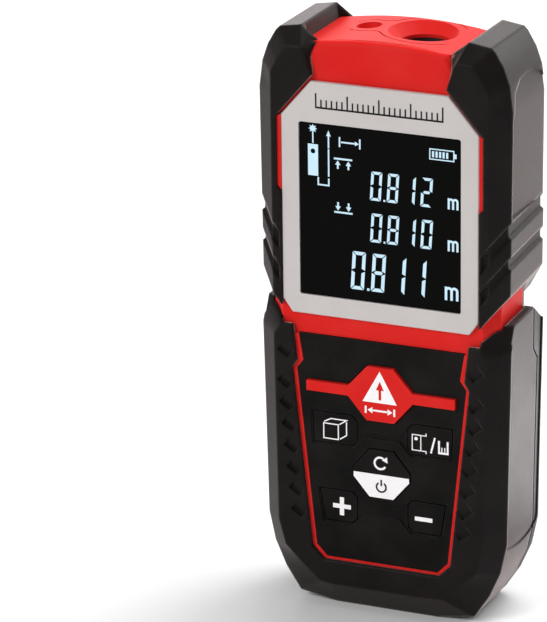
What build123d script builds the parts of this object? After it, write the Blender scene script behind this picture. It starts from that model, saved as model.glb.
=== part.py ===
from build123d import *
import os

# Hand-held laser distance meter: a red two-part housing with a black rubber bumper on each
# side of its head, a rubber grip boot, a display, six keys, a battery door at the back, and
# a laser and receiver behind two apertures in its top end.
#
# The meter stands on its bottom end. +X is its right side, +Y runs from its front to its back
# and +Z runs up to the apertures. The origin is the middle of the bounding box's bottom face.
# All sizes are millimetres. "Depth" is the distance behind the face of the display bezel, and
# an outline is given as its right half, (x, z) from the bottom to the top.

BODY_DEPTH = 23.4
RUBBER_FRONT = -0.4
BACK = RUBBER_FRONT + BODY_DEPTH
BEZEL_Y = -BODY_DEPTH / 2 - RUBBER_FRONT
BACKWARD = (0, 1, 0)

# Depths of the layers of the housing
SHELL_FRONT = 0.9
SHELL_WALL = 2.0
SHELL_INSIDE = SHELL_FRONT + SHELL_WALL
SHELL_PARTING = 15.0
BOOT_EDGE = 18.0
FRONT_CREASE = 2.9
BACK_CREASE = 20.2
CORE_FRONT_CREASE = 3.7
CORE_BACK_CREASE = 15.0
CORE_BACK = 21.8
REAR_INSIDE = 20.2
CAVITY_STEP = 17.0
PLATE_FRONT = 21.0

# Outlines of the rubber, at its flat front or back face and at the creases of its sides
BOOT_FACE = [(9.8, 5.1), (12.9, 5.4), (17.0, 9.0), (20.2, 12.0), (21.6, 17.2), (22.2, 57.0)]
BOOT_SIDE = [(10.7, 0), (18.5, 1.3), (21.6, 6.0), (23.9, 11.2), (25.2, 17.2), (26.0, 57.0)]
BOOT_TOP = 66.0
# Side-view lines, as (depth, z): the boot's rim, its seam with the rear shell, the rear rim
BOOT_RIM = [(-3, 58.4), (-0.4, 58.4), (3.6, 61.9), (7.8, 62.1), (15.8, 62.5), (18.5, 60.6)]
BOOT_SEAM = [(17.8, -1.0), (17.8, 51.3), (15.7, 53.8), (15.5, 80.0)]
SEAM_GAP = 0.45
REAR_RIM = [(0, 62.7), (15.5, 62.5), (20.2, 58.9), (24.0, 56.6)]
# Flat that takes off the boot's upper front corners: a point on it, and the way it faces
CORNER_POINT = (22.3, RUBBER_FRONT, 55.8)
CORNER_WAY = (0.54, -0.75, 0.38)
# Side-view outline, as (depth, z), of the shallow panel in the boot's side, and its floor
BOOT_PANEL = [(3.6, 70.0), (3.6, 15.9), (7.8, 15.1), (11.6, 14.6), (14.9, 14.8), (17.7, 15.5),
              (19.3, 16.6), (19.8, 18.5), (19.8, 70.0)]
BOOT_PANEL_FLOOR = [(24.25, 14.0), (24.9, 17.2), (25.7, 57.0), (25.7, 70.0), (30.0, 70.0),
                    (30.0, 14.0)]
BUMPER_FACE = [(20.55, 62.1), (22.2, 64.2), (22.3, 105.0), (22.3, 109.0), (20.9, 111.6),
               (19.5, 113.7), (18.9, 114.4)]
BUMPER_SIDE = [(20.55, 62.1), (25.75, 68.6), (26.1, 105.0), (25.4, 110.2), (24.2, 113.6),
               (22.5, 116.5), (21.7, 117.3)]
BUMPER_SIDE_BACK = BUMPER_SIDE[:1] + [(25.75, 69.9)] + BUMPER_SIDE[2:]
BUMPER_HEAD = [(21.35, 100.5), (21.35, 86.2), (20.55, 85.3)]
# Inner edge of the bumper's horn at its face and creases, and how deep its front part reaches
HORN_FRONT_FACE = [(15.8, 114.5), (15.3, 113.2), (13.9, 109.2)]
HORN_FRONT_SIDE = [(17.2, 118.0), (13.6, 115.3), (13.7, 109.2)]
HORN_BACK_SIDE = [(17.2, 118.0), (16.6, 114.0), (13.6, 109.2)]
HORN_BACK_FACE = [(14.6, 114.4), (13.6, 113.0), (13.6, 109.2)]
HORN_REACH = 4.8
# Side-view outline, as (depth, z), of the shallow panel in the bumper's side
BUMPER_PANEL = [(3.4, 84.0), (3.4, 103.2), (5.4, 108.2), (8.4, 110.1), (11.9, 110.5),
                (16.2, 110.3), (19.3, 109.1), (21.5, 106.5), (22.5, 103.0), (22.5, 84.0)]
PANEL_FLOOR = [(25.65, 84.0), (25.8, 105.0), (25.1, 110.2), (24.8, 111.2), (30.0, 111.2),
               (30.0, 84.0)]

# Outlines of the hard housing under the rubber
CORE_FACE = [(9.0, 5.0), (13.5, 5.8), (17.8, 9.9), (20.2, 16.0), (20.9, 60.0), (20.9, 104.0),
             (20.6, 108.2), (18.4, 112.0), (16.65, 112.0)]
CORE_SIDE = [(9.5, 2.2), (17.6, 3.3), (21.4, 9.2), (23.2, 17.6), (24.0, 60.0), (24.0, 104.5),
             (23.2, 109.8), (20.6, 114.3), (16.65, 114.3)]
CAVITY = [(9.0, 4.2), (16.6, 5.1), (19.4, 10.2), (21.2, 18.0), (22.0, 60.0), (22.0, 103.5),
          (21.2, 108.5), (19.3, 111.5), (16.65, 111.5)]
PLATE = [(20.45, 40.0), (20.45, 100.7), (13.2, 108.4), (13.2, 114.2)]

# Red line that stands up between the display bezel and the bumpers
TRIM_LINE = [(20.45, 85.4), (21.3, 86.3), (21.3, 100.2), (20.45, 100.7)]
TRIM_FRONT = 0.1

# Display
BEZEL = [(18.4, 60.75), (20.4, 63.45), (20.4, 100.7), (14.2, 107.85)]
WINDOW_SIZE = (33.4, 34.8)
WINDOW_MIDDLE = 82.2
WINDOW_CORNER = 0.5
MODULE = [(17.2, 64.4), (17.2, 100.0)]

# Keypad: the panel, the groove round it and its two dumbbell-shaped recesses
PANEL = [(11.65, 10.5), (13.85, 12.75), (17.7, 49.2), (16.4, 51.0), (17.3, 56.55)]
GROOVE = [(12.05, 9.9), (14.7, 12.45), (18.6, 49.3), (17.6, 51.0), (18.4, 57.6), (18.4, 59.0)]
KEYPAD_LINE = GROOVE[:4] + [(18.25, 56.4)]
KEYPAD_LINE_FRONT = 0.45
PANEL_FRONT = 0.5
PANEL_BACK = 2.0
RECESS_FLOOR = 0.9
UPPER_RECESS = [(0, 36.55), (3.7, 36.55), (6.1, 33.85), (14.8, 33.85), (15.1, 41.0),
                (6.3, 41.0), (3.4, 37.7), (0, 37.7)]
LOWER_RECESS = [(0, 20.5), (3.6, 20.5), (6.1, 17.6), (12.6, 17.6), (13.7, 25.0),
                (6.1, 25.0), (3.6, 22.2), (0, 22.2)]
MEASURE_KEY = [(2.9, 40.45), (6.8, 45.0), (15.6, 45.0), (15.6, 47.15), (6.8, 47.15),
               (2.75, 51.65)]
CLEAR_KEY = [(2.65, 24.3), (6.0, 28.3), (6.0, 30.2), (2.6, 34.35)]
UPPER_KEY = [(5.4, 35.5), (6.4, 34.3), (14.4, 34.3), (14.65, 40.55), (6.5, 40.55), (5.4, 39.4)]
LOWER_KEY = [(5.4, 19.2), (6.4, 18.05), (12.2, 18.05), (13.2, 24.55), (6.3, 24.55), (5.4, 23.6)]
KEY_GAP = 0.15
KEY_TRAVEL = 0.6
MEASURE_CENTRE = (0, 46.0)
CLEAR_CENTRE = (0, 29.3)
UPPER_KEY_CENTRE = (10.0, 37.4)
LOWER_KEY_CENTRE = (9.4, 21.3)

# Circuit board
BOARD_FRONT = 5.0
BOARD_BACK = 6.0
BOARD = [(10.5, 5.6), (13.4, 8.5), (13.4, 56.0), (14.4, 57.5), (14.4, 107.2)]
BOARD_SCREWS = [(9.0, 8.0), (12.3, 60.4), (12.4, 105.2)]

# Screws that join the two shells: four open at the back, two under the bumpers
OPEN_SCREWS = [(16.2, 14.0), (17.5, 60.8)]
HIDDEN_SCREWS = [(18.8, 105.6)]
HOUSING_SCREWS = OPEN_SCREWS + HIDDEN_SCREWS
BOSS_RADIUS = 2.1
SHANK_RADIUS = 1.2
HEAD_RADIUS = 2.0
HEAD_HEIGHT = 1.2
OPEN_HEAD = BACK - 1.6
HIDDEN_HEAD = CORE_BACK - 1.3

# Optics, at (x, depth) centres
RECEIVER = (4.2, 13.0)
EMITTER = (-7.5, 13.3)
FUNNEL_TOP_RADIUS = 7.2
FUNNEL_LOW_RADIUS = 4.85
FUNNEL_BOTTOM = 114.3
SLEEVE_RADIUS = 6.4
SLEEVE_TOP = 113.6
EMITTER_RADIUS = 2.6
WALL = [(14.6, 108.0), (14.6, 113.4), (13.3, 115.5)]
WALL_TOP = 116.35
WALL_ROUNDING = 1.2
CAP_TOP = 116.45
CAP_FRONT = 2.4
CAP_BACK = 21.4
CAP_SIDE = 16.6
CAP = [(CAP_SIDE, 110.0), (CAP_SIDE, 114.9)]
CAP_ROUNDING = 0.8
PILLARS = [(13.9, 9.0), (13.9, 17.5)]

# Battery compartment
CELL_RADIUS = 5.25
CELL_LENGTH = 44.5
CELL_X = 5.6
CELL_DEPTH = 15.9
LEFT_CELL_BOTTOM = 10.4
RIGHT_CELL_BOTTOM = 7.1
BOX_INNER = ((-11.2, 11.2), (10.4, 24.0), (6.4, 55.7))
BOX_OUTER = ((-12.4, 12.4), (9.4, 22.0), (5.2, 56.9))
DOOR_HALF_WIDTH = 12.0
DOOR_BOTTOM = 8.0
DOOR_TOP = 57.0
DOOR_FRONT = 21.5


def at_depth(depth):
    """Front-view sketch plane at a depth, with x to the right and y up."""
    return Plane.XZ.offset(-(BEZEL_Y + depth))


def both_sides(points):
    """Full outline from its right half."""
    return points + [(-x, z) for x, z in reversed(points)]


def left(points):
    """Mirror image of an outline."""
    return [(-x, z) for x, z in reversed(points)]


def mirrored_places(places):
    """Right-hand places and their left-hand twins."""
    return places + [(-x, other) for x, other in places]


def outline(points, depth, grow=0.0):
    """Front-view face at a depth, grown outwards by a margin."""
    with BuildSketch(at_depth(depth)) as profile:
        with BuildLine():
            Polyline(*points, close=True)
        make_face()
        if grow:
            offset(amount=grow, kind=Kind.INTERSECTION)
    return profile.sketch


def arched(points, depth, crown):
    """Front-view face with an arched top: its right half from the bottom up, and its crown."""
    with BuildSketch(at_depth(depth)) as profile:
        with BuildLine():
            Polyline(*points)
            ThreePointArc(points[-1], (0, crown), (-points[-1][0], points[-1][1]))
            Polyline(*left(points))
            Line((-points[0][0], points[0][1]), points[0])
        make_face()
    return profile.sketch


def slab(points, front, back, mode=Mode.ADD, grow=0.0):
    """Plate with a front-view outline, between two depths."""
    extrude(outline(points, front, grow), amount=back - front, dir=BACKWARD, mode=mode)


def block(x, depth, z, mode=Mode.ADD):
    """Box between pairs of limits."""
    slab([(x[0], z[0]), (x[1], z[0]), (x[1], z[1]), (x[0], z[1])], depth[0], depth[1], mode)


def tapered(sections):
    """Straight-sided loft through front-view outlines at their depths."""
    loft([outline(points, depth).face() for points, depth in sections], ruled=True)


def pins(places, radius, front, back, mode=Mode.ADD):
    """Round bars that run in depth, at (x, z) places."""
    with BuildSketch(at_depth(front)) as discs:
        with Locations(*places):
            Circle(radius)
    extrude(discs.sketch, amount=back - front, dir=BACKWARD, mode=mode)


def posts(places, radius, bottom, top, mode=Mode.ADD):
    """Upright round bars at (x, depth) places."""
    with BuildSketch(Plane.XY.offset(bottom)) as discs:
        with Locations(*[(x, BEZEL_Y + depth) for x, depth in places]):
            Circle(radius)
    extrude(discs.sketch, amount=top - bottom, mode=mode)


def turned(place, points, mode=Mode.ADD):
    """Solid turned about an upright axis at (x, depth), from a (radius, z) outline."""
    axis_plane = Plane(origin=(place[0], BEZEL_Y + place[1], 0), x_dir=(1, 0, 0), z_dir=(0, -1, 0))
    with BuildSketch(axis_plane) as profile:
        with BuildLine():
            Polyline(*points, close=True)
        make_face()
    revolve(profile.sketch, axis=Axis((place[0], BEZEL_Y + place[1], 0), (0, 0, 1)), mode=mode)


def core(front, back):
    """Bevelled body of the hard housing, between two depths."""
    sections = [(CORE_FACE, SHELL_FRONT), (CORE_SIDE, CORE_FRONT_CREASE),
                (CORE_SIDE, CORE_BACK_CREASE), (CORE_FACE, CORE_BACK)]
    tapered([(both_sides(points), depth) for points, depth in sections])
    block((-30, 30), (front, back), (0, 120), Mode.INTERSECT)


def side_area(points, mode):
    """Side-view area, given as (depth, z), across the whole width of a part."""
    with BuildSketch(Plane.YZ.offset(-40)) as area:
        with BuildLine():
            Polyline(*[(BEZEL_Y + depth, z) for depth, z in points], close=True)
        make_face()
    extrude(area.sketch, amount=80, mode=mode)


def save(builder, name):
    """Labels a finished piece and writes its STEP file."""
    builder.part.label = name
    export_step(builder.part, f"parts/{name}.step")


os.makedirs("parts", exist_ok=True)

# The hard housing's whole envelope, which the rubber pieces are hollowed by
with BuildPart() as envelope:
    core(SHELL_FRONT, CORE_BACK)


# ---------------------------------------------------------------- front shell
with BuildPart() as front_wall:
    extrude(arched(WALL, SHELL_FRONT, WALL_TOP), amount=CAP_FRONT - 0.05 - SHELL_FRONT,
            dir=BACKWARD)
    front_rim = front_wall.edges().group_by(Axis.Y)[0].sort_by(Axis.Z)[-3:]
    fillet(front_rim, WALL_ROUNDING)

with BuildPart() as front_shell:
    core(SHELL_FRONT, SHELL_PARTING)
    # Front wall between the horns, rounded over in front of the nose cap
    add(front_wall.part)
    slab(both_sides(KEYPAD_LINE), KEYPAD_LINE_FRONT, SHELL_FRONT + 0.1, grow=-0.05)
    slab(TRIM_LINE, TRIM_FRONT, SHELL_FRONT + 0.1)
    slab(left(TRIM_LINE), TRIM_FRONT, SHELL_FRONT + 0.1)
    slab(both_sides(CAVITY), SHELL_INSIDE, SHELL_PARTING + 1, Mode.SUBTRACT)
    block((-CAP_SIDE - 0.05, CAP_SIDE + 0.05), (CAP_FRONT - 0.05, 16), (107.9, 120), Mode.SUBTRACT)
    # Window for the display module, and the seat of the keypad panel
    slab(both_sides(MODULE), 0, 4, Mode.SUBTRACT, grow=0.2)
    slab(both_sides(PANEL), 0, PANEL_BACK, Mode.SUBTRACT, grow=0.05)
    slab(both_sides(PANEL), 0, 4, Mode.SUBTRACT, grow=-1.0)
    # Screw bosses and the posts that carry the board
    pins(mirrored_places(HOUSING_SCREWS), BOSS_RADIUS, 2.5, SHELL_PARTING)
    pins(mirrored_places(HOUSING_SCREWS), SHANK_RADIUS, 7.0, SHELL_PARTING, Mode.SUBTRACT)
    pins(mirrored_places(BOARD_SCREWS), 1.7, 2.5, BOARD_FRONT)
    pins(mirrored_places(BOARD_SCREWS), 0.9, 2.6, BOARD_FRONT, Mode.SUBTRACT)
    # Stepped edge that the rear shell's tongue fits round
    slab(both_sides(CAVITY), SHELL_PARTING - 1.2, SHELL_PARTING, Mode.SUBTRACT, grow=0.8)
    pins(mirrored_places(HOUSING_SCREWS), BOSS_RADIUS, SHELL_PARTING - 1.2, SHELL_PARTING)
    pins(mirrored_places(HOUSING_SCREWS), SHANK_RADIUS, SHELL_PARTING - 2, SHELL_PARTING,
         Mode.SUBTRACT)
save(front_shell, "front_shell")


# ---------------------------------------------------------------- rear shell
# Shallow panels in the two sides of the grip, which run on from the boot to the rear shell
with BuildPart() as boot_panels:
    slab(BOOT_PANEL_FLOOR, -2, 25)
    slab(left(BOOT_PANEL_FLOOR), -2, 25)
    side_area(BOOT_PANEL, Mode.INTERSECT)

# Flange that carries on the boot's outline at the back, up to its own sloping rim
with BuildPart() as rear_flange:
    tapered([(both_sides(BOOT_SIDE + [(26.0, BOOT_TOP)]), SHELL_PARTING),
             (both_sides(BOOT_SIDE + [(26.0, BOOT_TOP)]), BACK_CREASE),
             (both_sides(BOOT_FACE + [(22.2, BOOT_TOP)]), BACK)])
    side_area([(depth + SEAM_GAP, z) for depth, z in BOOT_SEAM] + [(0, 80), (0, -1)],
              Mode.SUBTRACT)
    side_area(REAR_RIM + [(30, 80), (0, 80)], Mode.SUBTRACT)
    add(boot_panels.part, mode=Mode.SUBTRACT)

with BuildPart() as rear_shell:
    core(SHELL_PARTING, CORE_BACK)
    slab(both_sides(PLATE), PLATE_FRONT, BACK)
    add(rear_flange.part)
    slab(both_sides(CAVITY), SHELL_PARTING - 1, CAVITY_STEP, Mode.SUBTRACT)
    slab(both_sides(CAVITY), CAVITY_STEP, REAR_INSIDE, Mode.SUBTRACT, grow=-1.6)
    block((-CAP_SIDE - 0.05, CAP_SIDE + 0.05), (14, CAP_BACK + 0.05), (107.9, 120), Mode.SUBTRACT)
    # Tongue round the inside of the parting line
    slab(both_sides(CAVITY), SHELL_PARTING - 1.1, SHELL_PARTING + 0.2, grow=0.7)
    slab(both_sides(CAVITY), SHELL_PARTING - 2, SHELL_PARTING + 1, Mode.SUBTRACT)
    block((-CAP_SIDE - 0.05, CAP_SIDE + 0.05), (13, 16), (107.9, 120), Mode.SUBTRACT)
    pins(mirrored_places(HOUSING_SCREWS), BOSS_RADIUS + 0.2, SHELL_PARTING - 2, SHELL_PARTING,
         Mode.SUBTRACT)
    # Battery box, door seat and finger notch
    block(*BOX_OUTER)
    block(*BOX_INNER[:2], (DOOR_BOTTOM, BOX_INNER[2][1]), Mode.SUBTRACT)
    block(BOX_INNER[0], (BOX_INNER[1][0], DOOR_FRONT), BOX_INNER[2], Mode.SUBTRACT)
    block((-DOOR_HALF_WIDTH - 0.15, DOOR_HALF_WIDTH + 0.15), (DOOR_FRONT - 0.05, 24),
          (DOOR_BOTTOM - 0.1, DOOR_TOP + 0.2), Mode.SUBTRACT)
    block((-4.2, 4.2), (DOOR_FRONT - 0.2, 24), (DOOR_TOP - 0.5, DOOR_TOP + 2.4), Mode.SUBTRACT)
    # Screw bosses and their countersunk holes
    pins(mirrored_places(HOUSING_SCREWS), BOSS_RADIUS + 0.3, SHELL_PARTING, REAR_INSIDE + 0.3)
    pins(mirrored_places(HOUSING_SCREWS), 1.35, SHELL_PARTING - 1, 24, Mode.SUBTRACT)
    pins(mirrored_places(OPEN_SCREWS), HEAD_RADIUS + 0.1, OPEN_HEAD, 24, Mode.SUBTRACT)
    pins(mirrored_places(HIDDEN_SCREWS), HEAD_RADIUS + 0.1, HIDDEN_HEAD, 24, Mode.SUBTRACT)
save(rear_shell, "rear_shell")


# ---------------------------------------------------------------- nose cap
with BuildPart() as nose_cap:
    extrude(arched(CAP, CAP_FRONT, CAP_TOP), amount=CAP_BACK - CAP_FRONT, dir=BACKWARD)
    fillet(nose_cap.edges().group_by(Axis.Y)[-1].sort_by(Axis.Z)[-1], CAP_ROUNDING)
    # Hollow underside
    block((-15.0, 15.0), (4.2, 19.8), (109, 113.6), Mode.SUBTRACT)
    # Barrels round the two apertures, and the pillars that carry the optics
    posts([RECEIVER], 7.6, 110.4, 114.2)
    posts([EMITTER], 4.0, 110.4, 115.0)
    posts(mirrored_places(PILLARS), 1.7, 103.0, 114.0)
    posts(mirrored_places(PILLARS), 0.9, 102.0, 109.0, Mode.SUBTRACT)
    turned(RECEIVER, [(0, 110.0), (SLEEVE_RADIUS + 0.1, 110.0), (SLEEVE_RADIUS + 0.1, SLEEVE_TOP),
                      (FUNNEL_LOW_RADIUS, SLEEVE_TOP), (FUNNEL_LOW_RADIUS, FUNNEL_BOTTOM),
                      (FUNNEL_TOP_RADIUS, CAP_TOP), (FUNNEL_TOP_RADIUS, 118), (0, 118)],
           Mode.SUBTRACT)
    turned(EMITTER, [(0, 110.0), (3.05, 110.0), (3.05, 111.2), (1.4, 111.2), (1.4, 114.7),
                     (2.2, 114.7), (EMITTER_RADIUS, CAP_TOP), (EMITTER_RADIUS, 118), (0, 118)],
           Mode.SUBTRACT)
    # Groove in the shape of an 8 round both apertures
    with BuildSketch(Plane.XY.offset(CAP_TOP - 0.7)) as groove:
        with BuildSketch(mode=Mode.PRIVATE) as figure_eight:
            with Locations((RECEIVER[0], BEZEL_Y + RECEIVER[1])):
                Circle(8.4)
            with Locations((EMITTER[0], BEZEL_Y + EMITTER[1])):
                Circle(3.9)
            fillet(figure_eight.vertices().sort_by(Axis.X)[:2], 3.0)
        add(offset(figure_eight.sketch, amount=0.35, mode=Mode.PRIVATE))
        add(figure_eight.sketch, mode=Mode.SUBTRACT)
    extrude(groove.sketch, amount=2, mode=Mode.SUBTRACT)
save(nose_cap, "nose_cap")


# ---------------------------------------------------------------- bumpers
# The two grooves round each bumper: heights of their floors' edges on the side, how far the
# walls slope back, how much the grooves drop for each millimetre they run inwards, and how
# much they rise from the front to the back
GROOVE_FLOORS = [(82.9, 80.4), (76.1, 74.15)]
GROOVE_DEPTH = 0.85
GROOVE_MOUTH_UP = 0.5
GROOVE_MOUTH_DOWN = 0.9
GROOVE_DROP = 1.25
GROOVE_RISE = 1.2
SIDE_X = 26.1
FACE_X = 22.3
INNER_X = 20.9


def groove_section(x, floor, drop):
    """Front-view section of a groove whose mouth is at x, lowered by a drop."""
    upper, lower = floor
    mouth = x + 0.3
    return [(x - GROOVE_DEPTH, lower - drop), (mouth, lower - drop - GROOVE_MOUTH_DOWN),
            (mouth, upper - drop + GROOVE_MOUTH_UP), (x - GROOVE_DEPTH, upper - drop)]


def face_groove(floor, grow, rise):
    """Front-view band of a groove across the bumper's front or back face, raised by a rise."""
    upper, lower = floor
    drops = [GROOVE_DROP * (SIDE_X - x) - rise for x in (INNER_X, FACE_X)]
    return [(INNER_X, lower - drops[0] - grow * GROOVE_MOUTH_DOWN),
            (FACE_X, lower - drops[1] - grow * GROOVE_MOUTH_DOWN),
            (FACE_X, upper - drops[1] + grow * GROOVE_MOUTH_UP),
            (INNER_X, upper - drops[0] + grow * GROOVE_MOUTH_UP)]


with BuildPart() as bumper_grooves:
    corner_drop = GROOVE_DROP * (SIDE_X - FACE_X)
    for floor_edges in GROOVE_FLOORS:
        tapered([(groove_section(FACE_X, floor_edges, corner_drop), RUBBER_FRONT),
                 (groove_section(SIDE_X, floor_edges, 0), FRONT_CREASE),
                 (groove_section(SIDE_X, floor_edges, -GROOVE_RISE), BACK_CREASE),
                 (groove_section(FACE_X, floor_edges, corner_drop - GROOVE_RISE), BACK)])
        tapered([(face_groove(floor_edges, 1, 0), RUBBER_FRONT - 0.05),
                 (face_groove(floor_edges, 0, 0), RUBBER_FRONT + GROOVE_DEPTH)])
        tapered([(face_groove(floor_edges, 0, GROOVE_RISE), BACK - GROOVE_DEPTH),
                 (face_groove(floor_edges, 1, GROOVE_RISE), BACK + 0.05)])

with BuildPart() as side_panel:
    slab(PANEL_FLOOR, -2, 25)
    side_area(BUMPER_PANEL, Mode.INTERSECT)

with BuildPart() as bumper_right:
    tapered([(BUMPER_FACE + HORN_FRONT_FACE + BUMPER_HEAD, RUBBER_FRONT),
             (BUMPER_SIDE + HORN_FRONT_SIDE + BUMPER_HEAD, FRONT_CREASE),
             (BUMPER_SIDE + HORN_BACK_SIDE + BUMPER_HEAD, HORN_REACH),
             (BUMPER_SIDE_BACK + HORN_BACK_SIDE + BUMPER_HEAD, BACK_CREASE),
             (BUMPER_FACE + HORN_BACK_FACE + BUMPER_HEAD, BACK)])
    add(side_panel.part, mode=Mode.SUBTRACT)
    add(bumper_grooves.part, mode=Mode.SUBTRACT)
    # Room for the housing and the nose cap
    add(envelope.part, mode=Mode.SUBTRACT)
    add(front_wall.part, mode=Mode.SUBTRACT)
    block((-CAP_SIDE, CAP_SIDE), (CAP_FRONT - 0.05, CAP_BACK), (109.8, CAP[1][1]), Mode.SUBTRACT)
    extrude(arched(CAP, CAP_FRONT - 0.05, CAP_TOP), amount=CAP_BACK - CAP_FRONT + 0.05,
            dir=BACKWARD, mode=Mode.SUBTRACT)
save(bumper_right, "bumper_right")

with BuildPart() as bumper_left:
    add(mirror(bumper_right.part, about=Plane.YZ))
save(bumper_left, "bumper_left")


# ---------------------------------------------------------------- grip boot
BOOT_CORNER = 20.7
TOOTH_PITCH = 4.45
TOOTH_HEIGHTS = [18.9 + TOOTH_PITCH * tooth for tooth in range(7)] + [52.0]
TOOTH_DEPTH = 0.8
TOOTH_RUN = 3.0
TOOTH_WIDTH = 2.3
TOOTH_SLANT = 0.7
TOOTH_MARGIN = 1.4
TOOTH_LIMIT = 19.4


def tooth_inner_edge(z):
    """Where a tooth starts: a margin outside the groove round the keypad."""
    low, high = GROOVE[1], GROOVE[2]
    edge = low[0] + (z - low[1]) / (high[1] - low[1]) * (high[0] - low[0])
    return min(edge + TOOTH_MARGIN, TOOTH_LIMIT)


with BuildPart() as grip_boot:
    tapered([(both_sides(BOOT_FACE + [(22.2, BOOT_TOP)]), RUBBER_FRONT),
             (both_sides(BOOT_SIDE + [(26.0, BOOT_TOP)]), FRONT_CREASE),
             (both_sides(BOOT_SIDE + [(26.0, BOOT_TOP)]), BOOT_EDGE)])
    add(envelope.part, mode=Mode.SUBTRACT)
    slab(both_sides(GROOVE), -2, SHELL_FRONT, Mode.SUBTRACT)
    side_area(BOOT_RIM + [(30, 80), (-3, 80)], Mode.SUBTRACT)
    block((-BOOT_CORNER, BOOT_CORNER), (-2, 3), (58.2, 70), Mode.SUBTRACT)
    side_area(BOOT_SEAM + [(30, 80), (30, -1)], Mode.SUBTRACT)
    add(boot_panels.part, mode=Mode.SUBTRACT)
    for side in (1, -1):
        corner_point = (side * CORNER_POINT[0], BEZEL_Y + CORNER_POINT[1], CORNER_POINT[2])
        corner_way = (side * CORNER_WAY[0], CORNER_WAY[1], CORNER_WAY[2])
        with BuildSketch(Plane(origin=corner_point, z_dir=corner_way)) as corner:
            Rectangle(40, 40)
        extrude(corner.sketch, amount=20, mode=Mode.SUBTRACT)
    # Teeth beside the keypad: a slope that sinks downwards and ends at a slanted step
    for side in (1, -1):
        for height in TOOTH_HEIGHTS:
            tooth_foot = (side * tooth_inner_edge(height), BEZEL_Y + RUBBER_FRONT,
                          height - TOOTH_SLANT * TOOTH_WIDTH / 2)
            tooth_plane = Plane(origin=tooth_foot, x_dir=(0, 1, 0), z_dir=(side, 0, TOOTH_SLANT))
            with BuildSketch(tooth_plane) as tooth_profile:
                with BuildLine():
                    Polyline((-0.3, 0), (TOOTH_DEPTH, 0), (0, side * TOOTH_RUN),
                             (-0.3, side * TOOTH_RUN), close=True)
                make_face()
            extrude(tooth_profile.sketch, amount=TOOTH_WIDTH * (1 + TOOTH_SLANT ** 2) ** 0.5,
                    mode=Mode.SUBTRACT)
save(grip_boot, "grip_boot")


# ---------------------------------------------------------------- display
def window_block(front, back, grow, mode=Mode.ADD):
    """Round-cornered block of the display window's outline, grown by a margin."""
    with BuildSketch(at_depth(front)) as opening:
        with Locations((0, WINDOW_MIDDLE)):
            RectangleRounded(WINDOW_SIZE[0] + 2 * grow, WINDOW_SIZE[1] + 2 * grow, WINDOW_CORNER)
    extrude(opening.sketch, amount=back - front, dir=BACKWARD, mode=mode)


with BuildPart() as display_bezel:
    slab(both_sides(BEZEL), 0, SHELL_FRONT)
    rim_edges = display_bezel.faces().sort_by(Axis.Y)[0].edges()
    chamfer(rim_edges, length=0.2)
    window_block(-1, 2, 0.05, Mode.SUBTRACT)
save(display_bezel, "display_bezel")

with BuildPart() as display_window:
    window_block(0.3, 1.3, 0)
save(display_window, "display_window")

with BuildPart() as lcd_panel:
    slab(both_sides(MODULE), 1.35, 2.95)
save(lcd_panel, "lcd_panel")

with BuildPart() as lcd_backlight:
    block((-17.2, 17.2), (3.0, 4.4), (66.8, 100.0))
    pins(mirrored_places([(15.5, 68.5), (15.5, 98.3)]), 0.8, 4.3, BOARD_FRONT)
    block((-14.4, 14.4), (4.3, BOARD_FRONT), (66.9, 67.4))
    block((15.6, 18), (4.4, 6), (66, 101), Mode.SUBTRACT)
    block((-18, -15.6), (4.4, 6), (66, 101), Mode.SUBTRACT)
save(lcd_backlight, "lcd_backlight")

with BuildPart() as lcd_connector:
    block((-13.0, 13.0), (2.95, BOARD_FRONT), (64.6, 66.2))
save(lcd_connector, "lcd_connector")


# ---------------------------------------------------------------- keypad
FLANGE_MARGIN = 0.4
FLANGE_FRONT = 2.1
FLANGE_BACK = 2.7
DOME_TOP = 4.7
PLUNGER_TIP = DOME_TOP - KEY_TRAVEL - 0.05

# Each key: outline, depth of its face and centre of its plunger
KEYS = {
    "measure_key": (both_sides(MEASURE_KEY), -0.2, MEASURE_CENTRE),
    "clear_key": (both_sides(CLEAR_KEY), 0.3, CLEAR_CENTRE),
    "reference_key": (UPPER_KEY, RECESS_FLOOR, UPPER_KEY_CENTRE),
    "function_key": (left(UPPER_KEY), RECESS_FLOOR, (-UPPER_KEY_CENTRE[0], UPPER_KEY_CENTRE[1])),
    "minus_key": (LOWER_KEY, RECESS_FLOOR, LOWER_KEY_CENTRE),
    "plus_key": (left(LOWER_KEY), RECESS_FLOOR, (-LOWER_KEY_CENTRE[0], LOWER_KEY_CENTRE[1])),
}

with BuildPart() as keypad_panel:
    slab(both_sides(PANEL), PANEL_FRONT, PANEL_BACK)
    for recess in (UPPER_RECESS, LOWER_RECESS):
        slab(recess, 0, RECESS_FLOOR, Mode.SUBTRACT)
        slab(left(recess), 0, RECESS_FLOOR, Mode.SUBTRACT)
    for key_outline, _, _ in KEYS.values():
        slab(key_outline, 0, 3, Mode.SUBTRACT, grow=KEY_GAP)
save(keypad_panel, "keypad_panel")

for key_name, (key_outline, key_face, plunger) in KEYS.items():
    with BuildPart() as key:
        slab(key_outline, key_face, FLANGE_FRONT)
        slab(key_outline, FLANGE_FRONT, FLANGE_BACK, grow=FLANGE_MARGIN)
        pins([plunger], 1.2, FLANGE_BACK - 0.1, PLUNGER_TIP)
    save(key, key_name)

with BuildPart() as dome_switches:
    pins([centre for _, _, centre in KEYS.values()], 2.2, DOME_TOP, BOARD_FRONT)
save(dome_switches, "dome_switches")


# ---------------------------------------------------------------- circuit board
with BuildPart() as main_board:
    slab(both_sides(BOARD), BOARD_FRONT, BOARD_BACK)
    pins(mirrored_places(BOARD_SCREWS), 1.05, 4, 7, Mode.SUBTRACT)
save(main_board, "main_board")

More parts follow.
